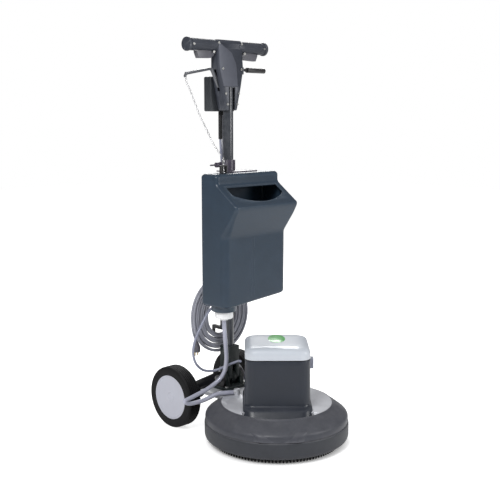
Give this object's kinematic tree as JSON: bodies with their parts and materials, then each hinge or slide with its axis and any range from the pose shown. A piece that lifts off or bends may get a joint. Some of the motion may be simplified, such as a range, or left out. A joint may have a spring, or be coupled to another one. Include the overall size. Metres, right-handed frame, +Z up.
{
  "type": "single disc floor scrubber",
  "caption": "Upright rotary floor machine: motor over a round brush deck, tilting pole with a solution tank, handle bar with triggers, transport wheels and a corded hank.",
  "frame": {"origin": "on the floor under the brush's axis, at the level of the bristle tips", "axes": "+Z up along the motor and brush axis, -Y forwards, away from the operator, +X to the machine's left as seen from the operator behind it"},
  "size_m": [0.451, 0.6455, 1.24],
  "materials": {
    "cast_plate": "cast, satin",
    "shroud": "moulded, satin",
    "bumper_band": "moulded, satin",
    "motor_cover": "moulded, satin",
    "motor_cap": "moulded, satin gloss",
    "motor_frame": "cast",
    "stator": "laminated steel with copper winding ends",
    "end_shield": "cast",
    "bearings": "ground steel",
    "capacitor": "plastic can",
    "cable_gland": "moulded",
    "gearbox_case": "cast",
    "gears": "cut steel",
    "foot_casting": "painted casting",
    "pins": "ground steel",
    "axle_arms": "painted black",
    "bolts": "zinc plated",
    "drive_plate": "moulded",
    "brush_block": "moulded",
    "bristles": "nylon tufts",
    "cooling_fan": "moulded",
    "tyres": "grooved rubber",
    "hubs": "moulded",
    "pole": "gloss painted tube",
    "tank": "rotomoulded polyethylene",
    "hanger": "painted",
    "black_steel": "painted black",
    "outlet": "moulded white",
    "head_shells": "moulded, satin",
    "control_box": "moulded, satin",
    "circuit_board": "board with parts",
    "sleeves": "black rubber boot",
    "triggers": "moulded",
    "lever_steel": "flat steel, painted",
    "chain": "plated link chain",
    "spring": "black spring steel",
    "adjust_grip": "black ribbed grip on a steel lever",
    "motor_cable": "pale grey sheathed cable",
    "hose": "clear tube",
    "mains_cable": "grey sheathed cable",
    "plug": "moulded plug"
  },
  "bodies": {
    "deck": {"base_plate": "cast_plate", "shroud": "shroud", "bumper_band": "bumper_band", "motor_cover": "motor_cover", "motor_cap": "motor_cap", "motor_frame": "motor_frame", "stator": "stator", "end_shield": "end_shield", "bearings": "bearings", "capacitor": "capacitor", "cable_gland": "cable_gland", "gearbox_case": "gearbox_case", "ring_gear": "gears", "foot_bracket": "foot_casting", "pivot_pin": "pins", "axle_arms": "axle_arms", "wheel_axle": "pins", "deck_bolts": "bolts"},
    "brush": {"planet_carrier": "gears", "drive_plate": "drive_plate", "brush_block": "brush_block", "bristles": "bristles"},
    "rotor": {"motor_shaft": "pins", "sun_gear": "gears", "rotor_core": "stator", "cooling_fan": "cooling_fan"},
    "planet_1": {"planet_gear_1": "gears"},
    "planet_2": {"planet_gear_2": "gears"},
    "planet_3": {"planet_gear_3": "gears"},
    "left_wheel": {"left_tyre": "tyres", "left_hub": "hubs"},
    "right_wheel": {"right_tyre": "tyres", "right_hub": "hubs"},
    "pole": {"pole_tube": "pole", "pole_yoke": "foot_casting", "tank_shell": "tank", "tank_hanger": "hanger", "rod_guide": "black_steel", "outlet_fitting": "outlet", "head_front": "head_shells", "head_rear": "head_shells", "head_screws": "bolts", "control_box": "control_box", "circuit_board": "circuit_board", "cord_hooks": "black_steel", "cable_sleeves": "sleeves", "motor_cable": "motor_cable", "water_hose": "hose", "mains_cable": "mains_cable", "mains_coil": "mains_cable", "mains_plug": "plug", "valve_spring": "spring"},
    "trigger_l": {"trigger_left": "triggers"},
    "trigger_r": {"trigger_right": "triggers"},
    "lever": {"water_lever": "lever_steel"},
    "chain": {"pull_chain": "chain"},
    "valve": {"valve_rod": "chain"},
    "adjuster": {"adjust_lever": "adjust_grip"},
    "brake": {"brake_rod": "pins"},
    "knob": {"clamp_knob": "hanger"}
  },
  "joints": [
    {"name": "brush_spin", "type": "hinge", "parent": "deck", "child": "brush", "pos_m": [0, 0, 0.05], "axis": [0, 0, 1], "continuous": true},
    {"name": "rotor_spin", "type": "hinge", "parent": "deck", "child": "rotor", "pos_m": [0, 0, 0.2], "axis": [0, 0, 1], "continuous": true},
    {"name": "planet_1_spin", "type": "hinge", "parent": "brush", "child": "planet_1", "pos_m": [0, 0.03, 0.1], "axis": [0, 0, 1], "continuous": true},
    {"name": "planet_2_spin", "type": "hinge", "parent": "brush", "child": "planet_2", "pos_m": [-0.02598, -0.015, 0.1], "axis": [0, 0, 1], "continuous": true},
    {"name": "planet_3_spin", "type": "hinge", "parent": "brush", "child": "planet_3", "pos_m": [0.02598, -0.015, 0.1], "axis": [0, 0, 1], "continuous": true},
    {"name": "left_wheel_roll", "type": "hinge", "parent": "deck", "child": "left_wheel", "pos_m": [-0.141, 0.32, 0.1], "axis": [1, 0, 0], "continuous": true},
    {"name": "right_wheel_roll", "type": "hinge", "parent": "deck", "child": "right_wheel", "pos_m": [0.141, 0.32, 0.1], "axis": [1, 0, 0], "continuous": true},
    {"name": "pole_tilt", "type": "hinge", "parent": "deck", "child": "pole", "pos_m": [0, 0.213, 0.16], "axis": [-1, 0, 0], "range_deg": [0, 45]},
    {"name": "left_trigger_pull", "type": "hinge", "parent": "pole", "child": "trigger_l", "pos_m": [-0.066, 0.219, 1.2], "axis": [0, 1, 0], "range_deg": [0, 7], "stiffness_Nm_per_rad": 1.5, "springref_deg": -11.46},
    {"name": "right_trigger_pull", "type": "hinge", "parent": "pole", "child": "trigger_r", "pos_m": [0.066, 0.219, 1.2], "axis": [0, -1, 0], "range_deg": [0, 7], "stiffness_Nm_per_rad": 1.5, "springref_deg": -11.46},
    {"name": "water_lever_pull", "type": "hinge", "parent": "pole", "child": "lever", "pos_m": [-0.038, 0.215, 1.098], "axis": [0, 1, 0], "range_deg": [0, 5]},
    {"name": "chain_swing", "type": "hinge", "parent": "lever", "child": "chain", "pos_m": [-0.173, 0.215, 1.12], "axis": [0, 1, 0], "range_deg": [-5.5, 0]},
    {"name": "valve_lift", "type": "slide", "parent": "pole", "child": "valve", "axis": [0, 0, 1], "range_m": [0, 0.0125], "stiffness_N_per_m": 300, "springref_m": -0.012, "deforming": ["valve_spring"]},
    {"name": "adjust_lever_press", "type": "hinge", "parent": "pole", "child": "adjuster", "pos_m": [0.044, 0.215, 1.15], "axis": [0, 1, 0], "range_deg": [0, 6], "stiffness_Nm_per_rad": 4, "springref_deg": -11.46},
    {"name": "brake_release", "type": "slide", "parent": "pole", "child": "brake", "axis": [0, 0, 1], "range_m": [0, 0.004]},
    {"name": "clamp_knob_turn", "type": "hinge", "parent": "pole", "child": "knob", "pos_m": [-0.04, 0.213, 0.854], "axis": [1, 0, 0], "continuous": true}
  ],
  "couplings": [
    {"joint": "rotor_spin", "follows": "brush_spin", "ratio": 8.5714},
    {"joint": "planet_1_spin", "follows": "brush_spin", "ratio": -2.3043},
    {"joint": "planet_2_spin", "follows": "brush_spin", "ratio": -2.3043},
    {"joint": "planet_3_spin", "follows": "brush_spin", "ratio": -2.3043},
    {"joint": "chain_swing", "follows": "water_lever_pull", "ratio": -1},
    {"joint": "valve_lift", "follows": "water_lever_pull", "m_per_rad": 0.1333},
    {"joint": "brake_release", "follows": "adjust_lever_press", "m_per_rad": 0.0344}
  ]
}
